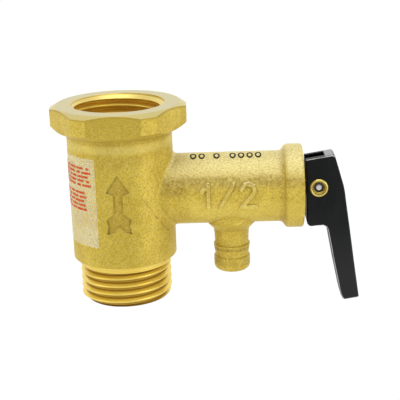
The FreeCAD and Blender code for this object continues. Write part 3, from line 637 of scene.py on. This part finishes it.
def wrapped_dash(verts, faces, angle_0, z_0, angle_1, z_1, steps=4):
    """Add one thin closed plate that lies on the label between two angles and two heights."""
    base = len(verts)
    for lift in (0.0, INK_T):
        for i in range(steps + 1):
            angle = angle_0 + (angle_1 - angle_0) * i / steps
            verts.append(on_body(angle, z_0, lift))
            verts.append(on_body(angle, z_1, lift))
    row = 2 * (steps + 1)
    for i in range(steps):
        a = base + 2 * i
        b = a + row
        faces.append((a, a + 1, a + 3, a + 2))
        faces.append((b, b + 2, b + 3, b + 1))
        faces.append((a, a + 2, b + 2, b))
        faces.append((a + 1, b + 1, b + 3, a + 3))
    last = base + 2 * steps
    faces.append((base, base + row, base + row + 1, base + 1))
    faces.append((last, last + 1, last + row + 1, last + row))


def label_marks():
    """Two rows of plain broken red lines where a warning would be printed on the film."""
    rows = ((28.30, 32.60, 29.5), (22.70, 27.00, 37.0))      # low z, high z, first angle
    dash_lengths = (2.5, 1.2, 3.2, 1.7, 0.9, 2.1)
    gap_lengths = (0.55, 0.80, 0.45)
    lines, line_height, last_angle = 5, 0.50, 146.0
    deg_per_mm = math.degrees(1.0 / LABEL_R)
    verts, faces = [], []
    count = 0
    for low, high, first in rows:
        for line in range(lines):
            z = low + (high - low - line_height) * line / (lines - 1)
            angle = first + (line % 3) * 0.35 * deg_per_mm
            while angle < last_angle:
                end = angle + dash_lengths[count % len(dash_lengths)] * deg_per_mm
                wrapped_dash(verts, faces, angle, z, end, z + line_height)
                angle = end + gap_lengths[count % len(gap_lengths)] * deg_per_mm
                count += 1
    obj = mesh_object("label_marks", verts, faces)
    dress(obj, ink("red_ink", (0.50, 0.040, 0.008), (0.62, 0.17, 0.06)))
    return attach(obj, "housing")


def ring_mark(verts, faces, x, angle_deg, half_x, half_angle, stroke, thickness, steps=20):
    """An oval ring lying on the arm, used as a plain zero."""
    base = len(verts)
    for lift in (0.0, thickness):
        for i in range(steps):
            t = 2 * math.pi * i / steps
            for share in (1.0, 1.0 - stroke):
                across = half_x * share * math.cos(t)
                up = half_angle * share * math.sin(t)
                verts.append(on_arm(x + across, angle_deg + up, lift))
    row = 2 * steps
    for i in range(steps):
        a, b = base + 2 * i, base + 2 * ((i + 1) % steps)
        faces.append((a, a + 1, b + 1, b))
        faces.append((a + row, b + row, b + row + 1, a + row + 1))
        faces.append((a, b, b + row, a + row))
        faces.append((a + 1, a + row + 1, b + row + 1, b + 1))


def arm_code():
    """A stamped ink code along the top of the arm, made of plain zeros."""
    verts, faces = [], []
    zero = {"angle_deg": 78.0, "half_x": 0.74, "half_angle": 9.8, "stroke": 0.46, "thickness": 0.015 * MM}
    for x in (16.4, 18.3, 21.6, 25.2, 27.1, 29.0, 30.9):
        ring_mark(verts, faces, x, **zero)
    obj = mesh_object("arm_code", verts, faces)
    dress(obj, ink("black_ink", (0.006, 0.006, 0.005), (0.030, 0.026, 0.014)))
    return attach(obj, "housing")


# ---------------------------------------------------------------- springs
def moving_spring(node):
    """A copy of a spring, carried by the housing, that stands in for the original piece."""
    copy = bpy.data.objects.new(node + "_coil", nodes[node].data.copy())
    bpy.context.scene.collection.objects.link(copy)
    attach(copy, "housing")
    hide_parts(node)
    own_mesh(copy)


# ---------------------------------------------------------------- dress the pieces
looks = {
    "forged_brass": forged_brass(),
    "machined_brass": machined_brass(),
    "spring_steel": steel("spring_steel", (0.62, 0.62, 0.61), 0.22, 0.36),
    "steel_pin": steel("steel_pin", (0.60, 0.58, 0.57), 0.24, 0.40),
    "black_plastic": black_plastic(),
    "white_plastic": white_plastic(),
    "black_rubber": black_rubber(),
    "label_film": label_film(),
}
slot_of = {row["node"]: row["material_slot"] for row in frame["record"]["subparts"]}
for name, obj in nodes.items():
    dress(obj, looks[slot_of[name]])

moving_spring("relief_spring")
moving_spring("check_spring")
label_marks()
arm_code()


# ---------------------------------------------------------------- stage, light and camera
BACKGROUND = 1.02                # how bright the camera sees floor and surroundings
FLOOR_CAST = 1.15                # how bright the object sees the floor
FLOOR_Z = -45.0
FLOOR_HALF = 3.0                 # metres
WHITE = (1.0, 1.0, 1.0, 1.0)


def stage_floor():
    """A white floor, far enough below to cast no hard shadow."""
    material = bpy.data.materials.new("floor_white")
    material.use_nodes = True
    n = Nodes(material.node_tree)
    seen = n.new("ShaderNodeLightPath").outputs["Is Camera Ray"]
    glow = n.new("ShaderNodeEmission")
    glow.inputs["Color"].default_value = WHITE
    n.link(n.ramp(seen, 0.0, 1.0, FLOOR_CAST, BACKGROUND), glow.inputs["Strength"])
    n.link(glow.outputs[0], n.new("ShaderNodeOutputMaterial").inputs["Surface"])

    signs = ((-1, -1), (1, -1), (1, 1), (-1, 1))
    corners = [(a * FLOOR_HALF, b * FLOOR_HALF, FLOOR_Z * MM) for a, b in signs]
    floor = mesh_object("floor", corners, [(0, 1, 2, 3)])
    dress(floor, material)


def studio_world():
    """White all round, brighter overhead and behind, darker where the camera and its operator stand."""
    world = bpy.data.worlds.new("studio")
    bpy.context.scene.world = world
    world.use_nodes = True
    n = Nodes(world.node_tree)
    split = n.new("ShaderNodeSeparateXYZ")
    n.link(n.new("ShaderNodeTexCoord").outputs["Generated"], split.inputs[0])
    _, y, z = split.outputs
    seen = n.new("ShaderNodeLightPath").outputs["Is Camera Ray"]

    overhead = n.above(z, 0.50, 0.80)
    behind = n.both(n.above(y, 0.35, 0.70), n.below(z, 0.60, 0.85))
    camera_side = n.both(n.below(y, -0.95, -0.45), n.below(z, 0.38, 0.62))
    level = n.math("SUBTRACT", 1.12, n.both(camera_side, 0.28))
    level = n.math("ADD", level, n.both(overhead, 0.06))
    level = n.math("ADD", level, n.both(behind, 0.30))
    unseen = n.math("SUBTRACT", 1.0, seen)
    strength = n.math("ADD", n.both(seen, BACKGROUND), n.both(unseen, level))

    back = n.new("ShaderNodeBackground")
    back.inputs["Color"].default_value = WHITE
    n.link(strength, back.inputs["Strength"])
    n.link(back.outputs[0], n.new("ShaderNodeOutputWorld").inputs["Surface"])


def soft_light(name, location, target, width, height, watts):
    """A rectangular lamp; places and sizes in metres."""
    lamp = bpy.data.lights.new(name, "AREA")
    lamp.shape = "RECTANGLE"
    lamp.size, lamp.size_y = width, height
    lamp.energy = watts
    obj = bpy.data.objects.new(name, lamp)
    bpy.context.scene.collection.objects.link(obj)
    obj.location = location
    obj.rotation_euler = (Vector(target) - Vector(location)).to_track_quat("-Z", "Y").to_euler()


def front_camera():
    """Slightly above and in front, as the object is usually shown."""
    yaw, pitch, roll = 0.0204, 0.2992, -0.0326
    place = Vector((22.3706, -235.1135, 94.2285)) * MM
    level = math.cos(pitch)
    forward = Vector((-math.sin(yaw) * level, math.cos(yaw) * level, -math.sin(pitch)))
    flat_right = Vector((math.cos(yaw), math.sin(yaw), 0.0))
    level_up = flat_right.cross(forward)
    right = flat_right * math.cos(roll) + level_up * math.sin(roll)
    up = level_up * math.cos(roll) - flat_right * math.sin(roll)
    pose = Matrix((right, up, -forward)).transposed().to_4x4()
    pose.translation = place

    data = bpy.data.cameras.new("camera")
    data.sensor_fit = "HORIZONTAL"
    data.sensor_width = 36.0
    data.lens = 97.2
    data.clip_start = 0.005
    camera = bpy.data.objects.new("camera", data)
    bpy.context.scene.collection.objects.link(camera)
    camera.matrix_world = pose
    bpy.context.scene.camera = camera


stage_floor()
studio_world()
soft_light("overhead", (0.02, -0.06, 0.42), (0.02, 0.0, 0.02), 0.34, 0.22, watts=0.45)
soft_light("right_fill", (0.30, -0.24, 0.10), (0.012, 0.0, 0.025), 0.16, 0.22, watts=0.22)
soft_light("left_fill", (-0.34, -0.16, 0.12), (0.0, 0.0, 0.025), 0.20, 0.26, watts=0.15)
front_camera()
bpy.context.scene.view_settings.view_transform = "Standard"
